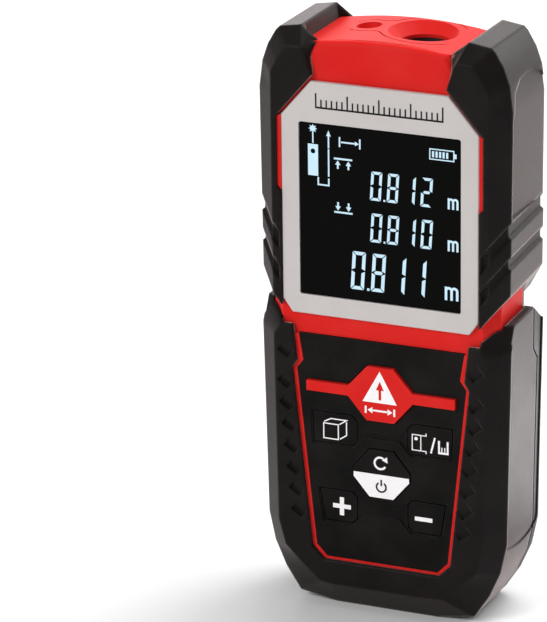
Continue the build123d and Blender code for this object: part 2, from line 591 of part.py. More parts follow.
with BuildPart() as board_screws:
    pins(mirrored_places(BOARD_SCREWS), 0.9, 3.0, BOARD_BACK + 0.2)
    pins(mirrored_places(BOARD_SCREWS), 1.6, BOARD_BACK, BOARD_BACK + 1.0)
    pins(mirrored_places(BOARD_SCREWS), 0.5, BOARD_BACK + 0.6, BOARD_BACK + 1.2, Mode.SUBTRACT)
save(board_screws, "board_screws")

with BuildPart() as processor:
    block((-6.0, 2.0), (BOARD_BACK, 7.1), (66.0, 74.0))
save(processor, "processor")

with BuildPart() as board_parts:
    block((4.5, 9.5), (BOARD_BACK, 7.4), (66.5, 70.5))
    block((5.0, 8.0), (BOARD_BACK, 6.9), (73.0, 76.0))
    block((-11.5, -9.0), (BOARD_BACK, 7.2), (72.0, 78.0))
    pins([(-11.0, 84.0)], 1.8, BOARD_BACK, 9.5)
    pins([(-11.0, 89.0)], 1.8, BOARD_BACK, 9.5)
    for capacitor in range(5):
        block((10.8, 12.0), (BOARD_BACK, 6.6), (66.0 + 2.4 * capacitor, 66.8 + 2.4 * capacitor))
save(board_parts, "board_parts")

with BuildPart() as buzzer:
    pins([(-9.0, 65.5)], 2.6, BOARD_BACK, 9.0)
    pins([(-9.0, 65.5)], 0.5, 8.0, 9.5, Mode.SUBTRACT)
save(buzzer, "buzzer")


# ---------------------------------------------------------------- optics
BENCH_BOTTOM = 94.0
BENCH_TOP = 103.0

with BuildPart() as optics_bench:
    block((-15.6, 15.6), (7.2, 19.3), (100.0, BENCH_TOP))
    posts([RECEIVER], 6.9, BENCH_BOTTOM, 100.5)
    posts([EMITTER], 4.3, BENCH_BOTTOM, 100.5)
    posts([RECEIVER], 6.0, 90, 110, Mode.SUBTRACT)
    posts([EMITTER], 3.2, 90, 110, Mode.SUBTRACT)
    posts(mirrored_places(PILLARS), 1.05, 98, 110, Mode.SUBTRACT)
save(optics_bench, "optics_bench")

with BuildPart() as bench_screws:
    posts(mirrored_places(PILLARS), 0.9, 99.8, 108.0)
    posts(mirrored_places(PILLARS), 1.6, 99.0, 100.0)
    posts(mirrored_places(PILLARS), 0.5, 98.8, 99.4, Mode.SUBTRACT)
save(bench_screws, "bench_screws")

LENS_SEAT = 106.2
LENS_CROWN = 108.9
LENS_CURVE = 11.2
TUBE_BOTTOM = 82.0
TUBE_TOP = 109.4

with BuildPart() as receiver_tube:
    turned(RECEIVER, [(2.3, TUBE_BOTTOM), (3.4, TUBE_BOTTOM), (3.4, 86.0), (6.0, 92.0),
                      (6.0, TUBE_TOP), (5.65, TUBE_TOP), (5.65, LENS_SEAT), (5.0, LENS_SEAT),
                      (2.3, 86.0)])
save(receiver_tube, "receiver_tube")

with BuildPart() as receiver_lens:
    posts([RECEIVER], 5.6, LENS_SEAT, LENS_CROWN)
    with Locations((RECEIVER[0], BEZEL_Y + RECEIVER[1], LENS_CROWN - LENS_CURVE)):
        Sphere(LENS_CURVE, mode=Mode.INTERSECT)
save(receiver_lens, "receiver_lens")

with BuildPart() as lens_ring:
    turned(RECEIVER, [(4.9, 107.9), (5.65, 107.9), (5.65, TUBE_TOP), (4.9, TUBE_TOP)])
save(lens_ring, "lens_ring")

with BuildPart() as lens_gasket:
    turned(RECEIVER, [(5.0, TUBE_TOP), (SLEEVE_RADIUS, TUBE_TOP), (SLEEVE_RADIUS, SLEEVE_TOP),
                      (5.0, SLEEVE_TOP)])
save(lens_gasket, "lens_gasket")

with BuildPart() as detector_board:
    block((RECEIVER[0] - 5.0, RECEIVER[0] + 5.0), (7.6, 18.4), (81.0, 81.8))
save(detector_board, "detector_board")

with BuildPart() as detector_diode:
    posts([RECEIVER], 2.0, 81.8, 82.3)
    posts([RECEIVER], 1.5, 82.2, 84.2)
save(detector_diode, "detector_diode")

with BuildPart() as shield_can:
    block((RECEIVER[0] - 4.6, RECEIVER[0] + 4.6), (8.0, 18.0), (77.6, 81.0))
    block((RECEIVER[0] - 4.4, RECEIVER[0] + 4.4), (8.2, 17.8), (77.8, 82.0), Mode.SUBTRACT)
save(shield_can, "shield_can")

with BuildPart() as laser_barrel:
    turned(EMITTER, [(2.25, 92.0), (3.2, 92.0), (3.2, 108.4), (1.9, 108.4), (1.9, 106.6),
                     (2.25, 106.6)])
save(laser_barrel, "laser_barrel")

with BuildPart() as laser_diode:
    posts([EMITTER], 2.25, 92.4, 93.6)
    posts([EMITTER], 1.6, 93.5, 95.6)
    posts([(EMITTER[0] - 0.9, EMITTER[1]), (EMITTER[0] + 0.9, EMITTER[1])], 0.22, 88.5, 92.5)
save(laser_diode, "laser_diode")

with BuildPart() as collimating_lens:
    turned(EMITTER, [(0, 104.2), (2.25, 104.6), (2.25, 106.2), (0, 106.6)])
save(collimating_lens, "collimating_lens")

with BuildPart() as emitter_window:
    posts([EMITTER], 3.0, 110.5, 111.2)
save(emitter_window, "emitter_window")


# ---------------------------------------------------------------- batteries and contacts
NUB_LENGTH = 0.9
NUB_RADIUS = 1.9
SPRING_WIRE = 0.25

with BuildPart() as battery_left:
    posts([(-CELL_X, CELL_DEPTH)], CELL_RADIUS, LEFT_CELL_BOTTOM,
          LEFT_CELL_BOTTOM + CELL_LENGTH - NUB_LENGTH)
    posts([(-CELL_X, CELL_DEPTH)], NUB_RADIUS, LEFT_CELL_BOTTOM + 1,
          LEFT_CELL_BOTTOM + CELL_LENGTH)
save(battery_left, "battery_left")

with BuildPart() as battery_right:
    posts([(CELL_X, CELL_DEPTH)], CELL_RADIUS, RIGHT_CELL_BOTTOM + NUB_LENGTH,
          RIGHT_CELL_BOTTOM + CELL_LENGTH)
    posts([(CELL_X, CELL_DEPTH)], NUB_RADIUS, RIGHT_CELL_BOTTOM, RIGHT_CELL_BOTTOM + 10)
save(battery_right, "battery_right")

with BuildPart() as contact_bridge:
    block((-9.4, 9.2), (12.6, 19.2), (6.6, 7.1))
save(contact_bridge, "contact_bridge")

with BuildPart() as contact_terminals:
    block((-9.2, -2.0), (12.6, 19.2), (54.9, 55.3))
    block((2.0, 9.2), (12.6, 19.2), (54.9, 55.3))
save(contact_terminals, "contact_terminals")


def cell_spring(x, bottom, top):
    """Coil spring of round wire between a contact plate and a cell's flat end."""
    height = top - bottom - 2 * SPRING_WIRE
    coil = Helix(pitch=height / 3, height=height, radius=3.0,
                 center=(x, BEZEL_Y + CELL_DEPTH, bottom + SPRING_WIRE))
    with BuildSketch(Plane(origin=coil @ 0, z_dir=coil % 0)) as wire:
        Circle(SPRING_WIRE)
    sweep(wire.sketch, path=coil)


with BuildPart() as contact_springs:
    cell_spring(-CELL_X, 7.1, LEFT_CELL_BOTTOM)
    cell_spring(CELL_X, RIGHT_CELL_BOTTOM + CELL_LENGTH, 54.9)
save(contact_springs, "contact_springs")


# ---------------------------------------------------------------- battery door
with BuildPart() as battery_door:
    block((-DOOR_HALF_WIDTH, DOOR_HALF_WIDTH), (DOOR_FRONT, BACK), (DOOR_BOTTOM, DOOR_TOP))
    # Tabs that hook under the lower lip, and the latch tongue in the finger notch
    for side in (1, -1):
        tab_width = sorted((side * 9.4, side * 10.9))
        block(tab_width, (20.3, DOOR_FRONT - 0.1), (6.8, 9.8))
        block(tab_width, (DOOR_FRONT - 0.5, DOOR_FRONT + 0.5), (DOOR_BOTTOM + 0.1, 9.8))
    block((-3.4, 3.4), (DOOR_FRONT, DOOR_FRONT + 0.8), (DOOR_TOP - 1, DOOR_TOP + 1.7))
    # Grip ribs by the latch
    for rib in range(4):
        block((-6.0, 6.0), (BACK - 0.5, 24), (DOOR_TOP - 3.2 - 1.6 * rib, DOOR_TOP - 2.4 - 1.6 * rib),
              Mode.SUBTRACT)
save(battery_door, "battery_door")


# ---------------------------------------------------------------- housing screws
with BuildPart() as housing_screws:
    for places, head in ((OPEN_SCREWS, OPEN_HEAD), (HIDDEN_SCREWS, HIDDEN_HEAD)):
        pins(mirrored_places(places), SHANK_RADIUS, 9.0, head + 0.2)
        pins(mirrored_places(places), HEAD_RADIUS, head, head + HEAD_HEIGHT)
        pins(mirrored_places(places), 0.7, head + 0.6, head + HEAD_HEIGHT, Mode.SUBTRACT)
save(housing_screws, "housing_screws")
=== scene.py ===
import math

import bmesh
import bpy
from mathutils import Matrix, Vector


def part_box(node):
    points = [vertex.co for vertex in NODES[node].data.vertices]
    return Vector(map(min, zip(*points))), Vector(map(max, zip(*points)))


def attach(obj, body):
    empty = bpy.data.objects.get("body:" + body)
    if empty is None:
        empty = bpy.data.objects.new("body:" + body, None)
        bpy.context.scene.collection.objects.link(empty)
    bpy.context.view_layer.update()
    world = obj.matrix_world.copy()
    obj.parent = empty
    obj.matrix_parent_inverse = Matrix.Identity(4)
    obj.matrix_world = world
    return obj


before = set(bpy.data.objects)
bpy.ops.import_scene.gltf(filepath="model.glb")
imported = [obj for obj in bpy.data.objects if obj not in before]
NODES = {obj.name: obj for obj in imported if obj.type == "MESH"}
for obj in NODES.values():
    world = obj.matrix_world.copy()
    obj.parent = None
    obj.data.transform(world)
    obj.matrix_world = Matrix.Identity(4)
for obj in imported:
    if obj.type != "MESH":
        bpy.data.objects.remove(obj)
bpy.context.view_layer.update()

# A laser distance meter: the looks of its CAD pieces, the printed legends on its keys, the
# reading on its display, and a small studio round it. Lengths on the object are millimetres
# until MM turns them into metres. The object faces -Y and stands on Z = 0.

MM = 0.001
HOUSING = "housing"


# ---------------------------------------------------------------- camera
# Aim point on the display's plane, and the angles that the object is seen from
AIM = Vector((-22.45, -11.3, 60.37)) * MM
CAMERA_AZIMUTH = math.radians(24.13)
CAMERA_ELEVATION = math.radians(19.27)
CAMERA_ROLL = math.radians(-0.75)
CAMERA_DISTANCE = 0.902
LENS_ANGLE = math.radians(7.68)


def make_camera():
    """Long-lens camera to the right of the object's front and a little above it."""
    back = Vector((math.sin(CAMERA_AZIMUTH) * math.cos(CAMERA_ELEVATION),
                   -math.cos(CAMERA_AZIMUTH) * math.cos(CAMERA_ELEVATION),
                   math.sin(CAMERA_ELEVATION)))
    right = Vector((math.cos(CAMERA_AZIMUTH), math.sin(CAMERA_AZIMUTH), 0))
    up = back.cross(right)
    right, up = (math.cos(CAMERA_ROLL) * right + math.sin(CAMERA_ROLL) * up,
                 math.cos(CAMERA_ROLL) * up - math.sin(CAMERA_ROLL) * right)
    data = bpy.data.cameras.new("camera")
    data.angle = LENS_ANGLE
    camera = bpy.data.objects.new("camera", data)
    turn = Matrix((right, up, back)).transposed().to_4x4()
    camera.matrix_world = Matrix.Translation(AIM + back * CAMERA_DISTANCE) @ turn
    bpy.context.scene.collection.objects.link(camera)
    bpy.context.scene.camera = camera


# ---------------------------------------------------------------- studio
ROOM_COLOUR = (1.0, 0.995, 0.99, 1)
ROOM_STRENGTH = 0.36
FLOOR_RADIUS = 4.0
OBJECT_MIDDLE = (0, 0, 0.06)
# Softboxes: name, place and size in metres, power in watts, and the point each one faces. The
# table light is a small one that lies on the floor beside the grip and shines upwards.
SOFTBOXES = [
    ("key_light", (-0.55, -0.9, 0.7), 0.55, 6.9, OBJECT_MIDDLE),
    ("side_light", (0.45, 1.0, 0.45), 0.5, 4.5, OBJECT_MIDDLE),
    ("back_light", (-0.5, 1.1, 0.45), 0.9, 5.0, OBJECT_MIDDLE),
    ("table_light", (0.075, 0.085, 0.004), 0.09, 0.09, (0.075, 0.085, 1.0)),
    ("top_light", (0.25, 0.35, 0.9), 0.7, 8.0, OBJECT_MIDDLE),
]


def make_panel_light(name, place, size, power, aim):
    """Square softbox that faces a point and doesn't show itself."""
    data = bpy.data.lights.new(name, "AREA")
    data.shape = "SQUARE"
    data.size = size
    data.energy = power
    light = bpy.data.objects.new(name, data)
    light.location = place
    light.rotation_euler = (Vector(place) - Vector(aim)).to_track_quat("Z", "Y").to_euler()
    light.visible_camera = False
    bpy.context.scene.collection.objects.link(light)


def make_studio():
    """White room with softboxes round the object, and a pale floor."""
    world = bpy.data.worlds.new("room")
    world.use_nodes = True
    background = world.node_tree.nodes["Background"]
    background.inputs["Color"].default_value = ROOM_COLOUR
    background.inputs["Strength"].default_value = ROOM_STRENGTH
    bpy.context.scene.world = world
    bpy.context.scene.view_settings.view_transform = "Standard"
    for softbox in SOFTBOXES:
        make_panel_light(*softbox)

    mesh = bmesh.new()
    bmesh.ops.create_circle(mesh, cap_ends=True, segments=96, radius=FLOOR_RADIUS)
    floor = finish_mesh("floor", mesh)
    floor.data.materials.append(floor_material())


# ---------------------------------------------------------------- material tools
# Match between the surface's own direction and its rounded one: on a flat and on a corner
FLAT_DOT = 0.99
CORNER_DOT = 0.85


def srgb(*channels):
    """Linear colour from red, green and blue values of 0 to 255."""
    shares = [value / 255 for value in channels]
    linear = [((share + 0.055) / 1.055) ** 2.4 if share > 0.04045 else share / 12.92
              for share in shares]
    return (*linear, 1.0)


class Finish:
    """A material being put together from nodes, on the object's own coordinates."""

    def __init__(self, name):
        self.material = bpy.data.materials.new(name)
        self.material.use_nodes = True
        self.tree = self.material.node_tree
        self.shader = self.tree.nodes["Principled BSDF"]
        self.place = self.node("ShaderNodeTexCoord").outputs["Object"]

    def node(self, kind, **settings):
        """New node, with its settings."""
        node = self.tree.nodes.new(kind)
        for key, value in settings.items():
            setattr(node, key, value)
        return node

    def feed(self, socket, source):
        """Sets a socket, from another socket or from a plain value."""
        if isinstance(source, bpy.types.NodeSocket):
            self.tree.links.new(source, socket)
        else:
            socket.default_value = source

    def set(self, **values):
        """Sets the shader's sockets; an underscore stands for a space in a name."""
        for key, value in values.items():
            self.feed(self.shader.inputs[key.replace("_", " ")], value)

    def stretched(self, x, y, z):
        """Object coordinates stretched along each axis."""
        mapping = self.node("ShaderNodeMapping")
        self.feed(mapping.inputs["Vector"], self.place)
        mapping.inputs["Scale"].default_value = (x, y, z)
        return mapping.outputs["Vector"]

    def noise(self, grain, detail=2.0, place=None):
        """Cloudy value from 0 to 1 with grains of a size in millimetres."""
        node = self.node("ShaderNodeTexNoise")
        self.feed(node.inputs["Vector"], place or self.place)
        node.inputs["Scale"].default_value = 1 / (grain * MM)
        node.inputs["Detail"].default_value = detail
        return node.outputs["Fac"]

    def span(self, value, low, high, to_low=0.0, to_high=1.0):
        """Value from low..high brought to another span, and held there."""
        node = self.node("ShaderNodeMapRange")
        for name, limit in (("From Min", low), ("From Max", high),
                            ("To Min", to_low), ("To Max", to_high)):
            node.inputs[name].default_value = limit
        self.feed(node.inputs["Value"], value)
        return node.outputs["Result"]

    def maths(self, operation, first, second):
        """Sum, product or other result of two values."""
        node = self.node("ShaderNodeMath", operation=operation)
        self.feed(node.inputs[0], first)
        self.feed(node.inputs[1], second)
        return node.outputs["Value"]

    def blend(self, share, first, second):
        """Colour between two colours."""
        node = self.node("ShaderNodeMix", data_type="RGBA")
        self.feed(node.inputs["Factor"], share)
        self.feed(node.inputs["A"], first)
        self.feed(node.inputs["B"], second)
        return node.outputs["Result"]

    def height_along(self, axis):
        """Coordinate along one of the object's axes, in millimetres."""
        split = self.node("ShaderNodeSeparateXYZ")
        self.feed(split.inputs["Vector"], self.place)
        return self.maths("MULTIPLY", split.outputs[axis], 1 / MM)

    def rounded(self, radius, samples=4):
        """Surface direction with corners rounded to a radius in millimetres."""
        node = self.node("ShaderNodeBevel", samples=samples)
        node.inputs["Radius"].default_value = radius * MM
        return node.outputs["Normal"]

    def edges(self, radius):
        """Value that rises to 1 on corners of a radius in millimetres."""
        flat = self.node("ShaderNodeNewGeometry").outputs["Normal"]
        dot = self.node("ShaderNodeVectorMath", operation="DOT_PRODUCT")
        self.feed(dot.inputs[0], self.rounded(radius))
        self.feed(dot.inputs[1], flat)
        return self.span(dot.outputs["Value"], FLAT_DOT, CORNER_DOT)

    def bump(self, height, depth, softness=0.0):
        """Raises the surface by a height of 0 to 1 times a depth; softness rounds its corners."""
        node = self.node("ShaderNodeBump")
        node.inputs["Distance"].default_value = depth * MM
        self.feed(node.inputs["Height"], height)
        if softness:
            self.feed(node.inputs["Normal"], self.rounded(softness, samples=8))
        self.feed(self.shader.inputs["Normal"], node.outputs["Normal"])


# ---------------------------------------------------------------- materials
# Grain of the faint clouds in moulded pieces, in millimetres, and the sheen of rubber
CLOUD_GRAIN = 9.0
SHEEN_ROUGHNESS = 0.3
SHEEN_TINT = (1.0, 0.84, 0.82, 1.0)


def moulded(name, colour, worn, roughness, grain=0.25, depth=0.012, wear=0.35, wear_radius=0.35,
            specular=0.5, sheen=0.0, softness=0.0):
    """Moulded plastic or rubber: a fine eroded grain, cloudy colour and edges rubbed lighter."""
    finish = Finish(name)
    cloud = finish.noise(CLOUD_GRAIN, 4.0)
    fine = finish.noise(grain, 3.0)
    rubbed = finish.maths("MULTIPLY", finish.edges(wear_radius),
                          finish.span(finish.noise(1.6, 5.0), 0.35, 0.65, 0.35, 1.0))
    share = finish.maths("ADD", finish.maths("MULTIPLY", rubbed, wear),
                         finish.span(cloud, 0.35, 0.7, 0.0, 0.12))
    finish.set(Base_Color=finish.blend(share, colour, worn),
               Roughness=finish.span(finish.maths("ADD", cloud, fine), 0.6, 1.4,
                                     roughness - 0.06, roughness + 0.06),
               Specular_IOR_Level=specular, Sheen_Weight=sheen,
               Sheen_Roughness=SHEEN_ROUGHNESS, Sheen_Tint=SHEEN_TINT)
    finish.bump(fine, depth, softness)
    return finish.material


def metal(name, colour, tarnish, roughness):
    """Drawn or pressed metal: fine lines one way, and faint tarnish."""
    finish = Finish(name)
    scratches = finish.noise(0.4, 3.0, finish.stretched(1, 1, 12))
    finish.set(Base_Color=finish.blend(finish.span(finish.noise(2.5, 4.0), 0.4, 0.7), colour,
                                       tarnish),
               Metallic=1.0,
               Roughness=finish.span(scratches, 0.3, 0.7, roughness - 0.08, roughness + 0.12))
    finish.bump(scratches, 0.006)
    return finish.material


def window_material():
    """Polished black display cover, with faint smears in its gloss."""
    finish = Finish("window_plastic")
    smears = finish.noise(7.0, 5.0, finish.stretched(1.0, 1.0, 2.5))
    finish.set(Base_Color=finish.blend(smears, srgb(3, 3, 3), srgb(6, 6, 5)),
               Roughness=finish.span(smears, 0.3, 0.75, 0.12, 0.2),
               Specular_IOR_Level=0.04)
    return finish.material


def glowing(name, colour, strength):
    """Lit display element, a little uneven in brightness."""
    finish = Finish(name)
    uneven = finish.span(finish.noise(3.0, 2.0), 0.3, 0.7, 0.92 * strength, strength)
    finish.set(Base_Color=finish.blend(finish.noise(0.8), srgb(60, 75, 90), srgb(70, 85, 100)),
               Emission_Color=colour, Emission_Strength=uneven, Roughness=0.5)
    return finish.material


def glass(name, tint, coating):
    """Lens glass with a coloured coating that shows at a slant."""
    finish = Finish(name)
    slant = finish.node("ShaderNodeLayerWeight")
    slant.inputs["Blend"].default_value = 0.35
    finish.set(Base_Color=finish.blend(slant.outputs["Facing"], tint, coating),
               Roughness=finish.span(finish.noise(2.0, 4.0), 0.3, 0.7, 0.02, 0.05),
               IOR=1.52, Transmission_Weight=0.9)
    return finish.material


def circuit_board_material():
    """Green solder mask over copper tracks."""
    finish = Finish("circuit_board")
    tracks = finish.node("ShaderNodeTexBrick")
    finish.feed(tracks.inputs["Vector"], finish.place)
    tracks.inputs["Scale"].default_value = 260.0
    tracks.inputs["Mortar Size"].default_value = 0.03
    finish.set(Base_Color=finish.blend(tracks.outputs["Fac"], srgb(14, 72, 38), srgb(38, 110, 62)),
               Roughness=finish.span(finish.noise(1.5, 4.0), 0.3, 0.7, 0.3, 0.45))
    finish.bump(tracks.outputs["Fac"], 0.02)
    return finish.material


def cell_material():
    """Plain battery wrapper: a dark sleeve with a light band at one end."""
    finish = Finish("cell_wrap")
    height = finish.maths("ADD", finish.height_along("Z"),
                          finish.span(finish.noise(3.0), 0.0, 1.0, -0.05, 0.05))
    band = finish.maths("GREATER_THAN", height, 42.0)
    finish.set(Base_Color=finish.blend(band, srgb(30, 34, 48), srgb(186, 150, 92)),
               Metallic=0.35,
               Roughness=finish.span(finish.noise(1.0, 4.0), 0.3, 0.7, 0.28, 0.42))
    return finish.material


def floor_material():
    """Pale matt studio floor with a faint cloud."""
    finish = Finish("floor")
    finish.set(Base_Color=finish.blend(finish.noise(120.0, 3.0), (0.86, 0.86, 0.86, 1),
                                       (0.9, 0.9, 0.9, 1)),
               Roughness=0.85, Specular_IOR_Level=0.1)
    return finish.material


def make_materials():
    """One material for each of the record's material slots."""
    dark = srgb(24, 23, 22)
    return {
        "red_plastic": moulded("red_plastic", srgb(215, 32, 29), srgb(236, 84, 76), 0.46,
                               depth=0.008, wear=0.3, specular=0.06),
        "black_rubber": moulded("black_rubber", srgb(12, 9, 8), srgb(62, 54, 50), 0.42,
                                grain=0.32, depth=0.06, wear=0.4, wear_radius=0.5,
                                specular=0.11, sheen=0.65, softness=0.9),
        "black_plastic": moulded("black_plastic", srgb(18, 17, 17), srgb(56, 54, 52), 0.45,
                                 grain=0.35, depth=0.025, specular=0.35),
        "bezel_plastic": moulded("bezel_plastic", srgb(196, 190, 188), srgb(222, 218, 215), 0.34,
                                 grain=0.2, depth=0.006),
        "window_plastic": window_material(),
        "lcd_glass": moulded("lcd_glass", srgb(30, 36, 44), srgb(60, 70, 84), 0.12, depth=0.001),
        "diffuser_plastic": moulded("diffuser_plastic", srgb(226, 230, 232), srgb(244, 246, 248),
                                    0.4),
        "keypad_rubber": moulded("keypad_rubber", srgb(9, 8, 7), srgb(70, 64, 62), 0.4,
                                 grain=0.22, depth=0.012, wear=0.45, wear_radius=0.25,
                                 specular=0.08),
        "white_print": moulded("white_print", srgb(252, 249, 250), srgb(255, 254, 254), 0.5,
                               depth=0.004, wear=0.2),
        "display_segment": glowing("display_segment", srgb(200, 230, 245), 0.98),
        "spring_steel": metal("spring_steel", srgb(196, 192, 184), srgb(160, 154, 142), 0.28),
        "circuit_board": circuit_board_material(),
        "zinc_screw": metal("zinc_screw", srgb(190, 192, 196), srgb(150, 152, 156), 0.3),
        "dark_screw": metal("dark_screw", srgb(58, 57, 58), srgb(40, 38, 38), 0.4),
        "chip_plastic": moulded("chip_plastic", srgb(24, 24, 26), srgb(48, 48, 52), 0.42),
        "bench_plastic": moulded("bench_plastic", dark, srgb(52, 50, 50), 0.5),
        "lens_glass": glass("lens_glass", (0.92, 0.95, 1.0, 1), (0.45, 0.35, 0.7, 1)),
        "soft_rubber": moulded("soft_rubber", dark, srgb(58, 54, 52), 0.65),
        "diode_metal": metal("diode_metal", srgb(214, 190, 130), srgb(180, 150, 96), 0.25),
        "laser_brass": metal("laser_brass", srgb(206, 170, 96), srgb(160, 126, 66), 0.28),
        "cell_wrap": cell_material(),
    }


# ---------------------------------------------------------------- CAD nodes
# Edge roundings, in millimetres
EDGE_RADII = {
    "bumper_left": 0.8, "bumper_right": 0.8, "grip_boot": 0.6, "nose_cap": 0.3,
    "front_shell": 0.2, "rear_shell": 0.35, "display_bezel": 0.15, "keypad_panel": 0.12,
    "measure_key": 0.15, "clear_key": 0.15, "reference_key": 0.15, "function_key": 0.15,
    "minus_key": 0.15, "plus_key": 0.15, "battery_door": 0.3, "display_window": 0.1,
}
SHARP_ANGLE = math.radians(24)
FLAT_ANGLE = math.radians(1.5)
WELD_DISTANCE = 1e-6
BEVEL_SEGMENTS = 3


def round_edges(node, radius):
    """Rounds a CAD node's sharp edges with modifiers, on top of its own mesh."""
    for name in ("custom_normal", "sharp_edge", "sharp_face"):
        if name in node.data.attributes:
            node.data.attributes.remove(node.data.attributes[name])
    node.modifiers.new("weld", "WELD").merge_threshold = WELD_DISTANCE
    flatten = node.modifiers.new("flatten", "DECIMATE")
    flatten.decimate_type = "DISSOLVE"
    flatten.angle_limit = FLAT_ANGLE
    bevel = node.modifiers.new("bevel", "BEVEL")
    bevel.width = radius * MM
    bevel.segments = BEVEL_SEGMENTS
    bevel.limit_method = "ANGLE"
    bevel.angle_limit = SHARP_ANGLE
    bevel.use_clamp_overlap = True
    node.modifiers.new("weight", "WEIGHTED_NORMAL").keep_sharp = True


def dress_nodes(materials):
    """Gives every CAD node its slot's material, and rounds the nodes that show."""
    for name, node in NODES.items():
        slot = node.data.materials[0].name.split(".")[0]
        node.data.materials[0] = materials[slot]
        if name in EDGE_RADII:
            round_edges(node, EDGE_RADII[name])


# ---------------------------------------------------------------- flat pieces
def finish_mesh(name, mesh):
    """Object from a bmesh, linked to the scene."""
    data = bpy.data.meshes.new(name)
    mesh.to_mesh(data)
    mesh.free()
    piece = bpy.data.objects.new(name, data)
    bpy.context.scene.collection.objects.link(piece)
    return piece


def add_plate(mesh, loops, front, back):
    """Closed plate between two Y planes: the first loop is its outline and the rest are holes."""
    rims = []
    for loop in loops:
        corners = [mesh.verts.new((x * MM, front, z * MM)) for x, z in loop]
        rims += [mesh.edges.new(pair) for pair in zip(corners, corners[1:] + corners[:1])]
    filled = bmesh.ops.triangle_fill(mesh, edges=rims, use_beauty=True)["geom"]
    faces = [item for item in filled if isinstance(item, bmesh.types.BMFace)]
    deeper = Vector((0, back - front, 0))
    twins = {v: mesh.verts.new(v.co + deeper) for face in faces for v in face.verts}
    for face in faces:
        mesh.faces.new([twins[v] for v in reversed(face.verts)])
    for rim in rims:
        first, second = rim.verts
        mesh.faces.new((first, second, twins[second], twins[first]))


def printed(name, shapes, node, body, slot, materials, proud=0.04, sunk=0.03):
    """Thin closed print on the front face of a CAD node, from shapes in millimetres."""
    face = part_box(node)[0].y
    mesh = bmesh.new()
    for loops in shapes:
        add_plate(mesh, loops, face - proud * MM, face + sunk * MM)
    bmesh.ops.recalc_face_normals(mesh, faces=mesh.faces)
    piece = finish_mesh(name, mesh)
    piece.data.materials.append(materials[slot])
    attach(piece, body)


def moved(shapes, x, z):
    """Shapes moved across the face."""
    return [[[(px + x, pz + z) for px, pz in loop] for loop in loops] for loops in shapes]


def sideways(points, distance, closed):
    """Line of points moved sideways by a distance, with mitred corners."""
    result = []
    count = len(points)
    for i, (x, z) in enumerate(points):
        before = Vector(points[i - 1]) if closed or i else None
        after = Vector(points[(i + 1) % count]) if closed or i < count - 1 else None
        here = Vector((x, z))
        ways = [(b - a).normalized() for a, b in ((before, here), (here, after)) if a and b]
        normals = [Vector((-way.y, way.x)) for way in ways]
        middle = sum(normals, Vector((0, 0))).normalized()
        result.append(tuple(here + middle * (distance / middle.dot(normals[0]))))
    return result


def stroke(points, width, closed=False):
    """Shape of a pen line through points."""
    outer = sideways(points, width / 2, closed)
    inner = sideways(points, -width / 2, closed)
    return [outer, inner] if closed else [outer + inner[::-1]]


def arc(centre, radius, start, end, steps):
    """Points along an arc, from one angle to another, in degrees."""
    angles = [math.radians(start + (end - start) * i / steps) for i in range(steps + 1)]
    return [(centre[0] + radius * math.cos(a), centre[1] + radius * math.sin(a)) for a in angles]


def disc(centre, radius, steps=24):
    """Round shape."""
    return [arc(centre, radius, 0, 360 - 360 / steps, steps - 1)]


def star(centre, long_radius, short_radius, rays):
    """Star shape with pointed rays."""
    points = []
    for corner in range(2 * rays):
        radius = short_radius if corner % 2 else long_radius
        turn = math.pi * corner / rays
        points.append((centre[0] + radius * math.cos(turn), centre[1] + radius * math.sin(turn)))
    return [points]


def cross(centre, reach, half_width):
    """Plus-shaped outline, which reaches as far each way from its centre."""
    quarter = [(half_width, reach), (half_width, half_width), (reach, half_width)]
    points = []
    for _ in range(4):
        points += [(centre[0] + x, centre[1] + z) for x, z in quarter]
        quarter = [(z, -x) for x, z in quarter]
    return [points]


def box_shape(x, z):
    """Rectangle between pairs of limits."""
    return [[(x[0], z[0]), (x[1], z[0]), (x[1], z[1]), (x[0], z[1])]]


def arrow_head(tip, way, length, width):
    """Triangle with its tip at a point, aimed along a way."""
    way = Vector(way).normalized()
    side = Vector((-way.y, way.x)) * (width / 2)
    tip = Vector(tip)
    foot = tip - way * length
    return [[tuple(tip), tuple(foot + side), tuple(foot - side)]]


# ---------------------------------------------------------------- display reading
# Bars of each digit: a top, b and c right, d bottom, e and f left, g middle
DIGIT_BARS = {"0": "abcdef", "1": "bc", "2": "abged", "8": "abcdefg"}
DIGIT_SLANT = 0.065
BAR_GAP = 0.12


def digit_bars(bars, width, height, thick):
    """Mitred bars of one seven-bar digit, from its lower left corner."""
    middle = height / 2
    gap = BAR_GAP
    half = thick / 2
    shapes = {
        "a": [(gap, height), (width - gap, height), (width - gap - thick, height - thick),
              (gap + thick, height - thick)],
        "d": [(gap, 0), (gap + thick, thick), (width - gap - thick, thick), (width - gap, 0)],
        "g": [(gap + half, middle), (gap + thick, middle + half),
              (width - gap - thick, middle + half), (width - gap - half, middle),
              (width - gap - thick, middle - half), (gap + thick, middle - half)],
        "f": [(0, middle + gap), (0, height - gap), (thick, height - gap - thick),
              (thick, middle + gap + half)],
        "b": [(width, middle + gap), (width - thick, middle + gap + half),
              (width - thick, height - gap - thick), (width, height - gap)],
        "e": [(0, gap), (0, middle - gap), (thick, middle - gap - half), (thick, gap + thick)],
        "c": [(width, gap), (width - thick, gap + thick), (width - thick, middle - gap - half),
              (width, middle - gap)],
    }
    return [[[(x + DIGIT_SLANT * (z - middle), z) for x, z in shapes[bar]]] for bar in bars]


# Side of the decimal dot as a share of a bar's thickness, and its gap to the next digit
DOT_SHARE = 0.7
DOT_GAP = 0.28


